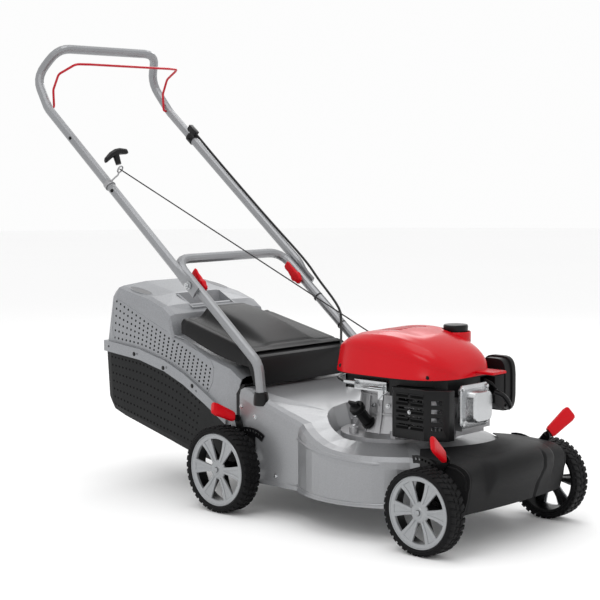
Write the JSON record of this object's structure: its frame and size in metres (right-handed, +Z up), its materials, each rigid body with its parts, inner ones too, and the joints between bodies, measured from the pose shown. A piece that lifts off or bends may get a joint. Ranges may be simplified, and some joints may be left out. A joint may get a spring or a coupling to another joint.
{
  "type": "push lawn mower",
  "caption": "Petrol push lawn mower with a round steel deck, adjustable wheels, folding tube handle with bail and pull start, and hard rear grass catcher",
  "frame": {"origin": "on the ground, under the middle of the bounding box", "axes": "+Z up, -Y the front of the mower (cutting end), +Y the operator's end, +X the operator's left"},
  "size_m": [0.5114, 1.3762, 1.0742],
  "materials": {
    "bail_red": "dipped coating",
    "black_plastic": "moulded, satin",
    "black_steel": "satin black",
    "cast_aluminium": "as cast",
    "dark_grey_plastic": "moulded, fine grain",
    "hub_silver": "satin",
    "red_plastic": "glossy",
    "rope": "braided",
    "silver_paint": "satin silver paint",
    "silver_plastic": "metallic grain, satin",
    "steel": "plain",
    "tyre_rubber": "matt",
    "zinc_plate": "zinc plated"
  },
  "bodies": {
    "chassis": {"deck": "silver_paint", "fascia": "dark_grey_plastic", "quadrant_front_left": "black_steel", "quadrant_front_right": "black_steel", "quadrant_rear_left": "black_steel", "quadrant_rear_right": "black_steel", "socket_left": "black_plastic", "socket_right": "black_plastic", "lower_handle": "silver_paint", "fold_bolt_left": "zinc_plate", "fold_bolt_right": "zinc_plate", "flap_hinge": "black_plastic", "rear_seal": "black_plastic", "crankcase": "cast_aluminium", "cylinder": "cast_aluminium", "valve_cover": "zinc_plate", "muffler": "steel", "muffler_guard": "black_steel", "blower_housing": "black_plastic", "cowl": "red_plastic", "fuel_tank": "black_plastic", "air_cleaner_base": "black_plastic", "air_cleaner_cover": "black_plastic", "breather_hose": "black_plastic", "oil_tube": "black_plastic", "brake_bracket": "zinc_plate", "starter_rope": "rope", "brake_cable": "black_plastic"},
    "handle": {"upper_handle": "silver_paint", "cable_bracket": "black_plastic", "rope_guide": "steel"},
    "cam_lever_left": {"cam_left": "red_plastic"},
    "cam_lever_right": {"cam_right": "red_plastic"},
    "bail_bar": {"bail": "bail_red"},
    "pull_start": {"starter_grip": "black_plastic"},
    "flap": {"rear_flap": "black_plastic"},
    "catcher": {"catcher_upper": "silver_plastic", "catcher_lower": "dark_grey_plastic"},
    "rotor": {"crankshaft": "steel", "blade": "steel", "flywheel": "cast_aluminium"},
    "tank_cap": {"fuel_cap": "black_plastic"},
    "dipstick": {"oil_dipstick": "black_plastic"},
    "height_lever_front_left": {"lever_front_left": "black_steel", "grip_front_left": "red_plastic"},
    "wheel_front_left": {"tyre_front_left": "tyre_rubber", "rim_front_left": "hub_silver"},
    "height_lever_front_right": {"lever_front_right": "black_steel", "grip_front_right": "red_plastic"},
    "wheel_front_right": {"tyre_front_right": "tyre_rubber", "rim_front_right": "hub_silver"},
    "height_lever_rear_left": {"lever_rear_left": "black_steel", "grip_rear_left": "red_plastic"},
    "wheel_rear_left": {"tyre_rear_left": "tyre_rubber", "rim_rear_left": "hub_silver"},
    "height_lever_rear_right": {"lever_rear_right": "black_steel", "grip_rear_right": "red_plastic"},
    "wheel_rear_right": {"tyre_rear_right": "tyre_rubber", "rim_rear_right": "hub_silver"}
  },
  "joints": [
    {"name": "height_front_left", "type": "hinge", "parent": "chassis", "child": "height_lever_front_left", "pos_m": [0.175, -0.5361, 0.1017], "axis": [-1, 0, 0], "range_deg": [0, 46]},
    {"name": "roll_front_left", "type": "hinge", "parent": "height_lever_front_left", "child": "wheel_front_left", "pos_m": [0.217, -0.5861, 0.0877], "axis": [-1, 0, 0], "continuous": true},
    {"name": "height_front_right", "type": "hinge", "parent": "chassis", "child": "height_lever_front_right", "pos_m": [-0.175, -0.5361, 0.1017], "axis": [-1, 0, 0], "range_deg": [0, 46]},
    {"name": "roll_front_right", "type": "hinge", "parent": "height_lever_front_right", "child": "wheel_front_right", "pos_m": [-0.217, -0.5861, 0.0877], "axis": [-1, 0, 0], "continuous": true},
    {"name": "height_rear_left", "type": "hinge", "parent": "chassis", "child": "height_lever_rear_left", "pos_m": [0.19, -0.0641, 0.1068], "axis": [1, 0, 0], "range_deg": [0, 46]},
    {"name": "roll_rear_left", "type": "hinge", "parent": "height_lever_rear_left", "child": "wheel_rear_left", "pos_m": [0.223, -0.0141, 0.0968], "axis": [-1, 0, 0], "continuous": true},
    {"name": "height_rear_right", "type": "hinge", "parent": "chassis", "child": "height_lever_rear_right", "pos_m": [-0.19, -0.0641, 0.1068], "axis": [1, 0, 0], "range_deg": [0, 46]},
    {"name": "roll_rear_right", "type": "hinge", "parent": "height_lever_rear_right", "child": "wheel_rear_right", "pos_m": [-0.223, -0.0141, 0.0968], "axis": [-1, 0, 0], "continuous": true},
    {"name": "handle_fold", "type": "hinge", "parent": "chassis", "child": "handle", "pos_m": [0, 0.1219, 0.498], "axis": [1, 0, 0], "range_deg": [0, 138], "deforming": ["starter_rope", "brake_cable"]},
    {"name": "clamp_left", "type": "hinge", "parent": "chassis", "child": "cam_lever_left", "pos_m": [0.1644, 0.1219, 0.498], "axis": [1, 0, 0], "range_deg": [0, 90]},
    {"name": "clamp_right", "type": "hinge", "parent": "chassis", "child": "cam_lever_right", "pos_m": [-0.1644, 0.1219, 0.498], "axis": [1, 0, 0], "range_deg": [0, 90]},
    {"name": "bail_pull", "type": "hinge", "parent": "handle", "child": "bail_bar", "pos_m": [0, 0.63017, 0.91435], "axis": [-1, 0, 0], "range_deg": [0, 36], "stiffness_Nm_per_rad": 1.5, "springref_deg": -34.38, "deforming": ["brake_cable"]},
    {"name": "starter_pull", "type": "slide", "parent": "handle", "child": "pull_start", "axis": [-0.0999, 0.2996, 0.9488], "range_m": [0, 0.35], "stiffness_N_per_m": 20, "springref_m": -0.15, "deforming": ["starter_rope"]},
    {"name": "flap_lift", "type": "hinge", "parent": "chassis", "child": "flap", "pos_m": [0, -0.0421, 0.338], "axis": [1, 0, 0], "range_deg": [0, 44], "stiffness_Nm_per_rad": 0.8, "springref_deg": -68.75},
    {"name": "catcher_draw", "type": "slide", "parent": "chassis", "child": "catcher", "axis": [0, 1, 0], "range_m": [0, 0.45]},
    {"name": "blade_spin", "type": "hinge", "parent": "chassis", "child": "rotor", "pos_m": [0, -0.34014, 0.184], "axis": [0, 0, 1], "continuous": true},
    {"name": "cap_turn", "type": "hinge", "parent": "chassis", "child": "tank_cap", "pos_m": [0.072, -0.44014, 0.3999], "axis": [0, 0, 1], "range_deg": [0, 90]},
    {"name": "dipstick_turn", "type": "hinge", "parent": "chassis", "child": "dipstick", "pos_m": [-0.11526, -0.32509, 0.2489], "axis": [-0.6436, 0.1133, 0.7569], "range_deg": [0, 90]}
  ]
}
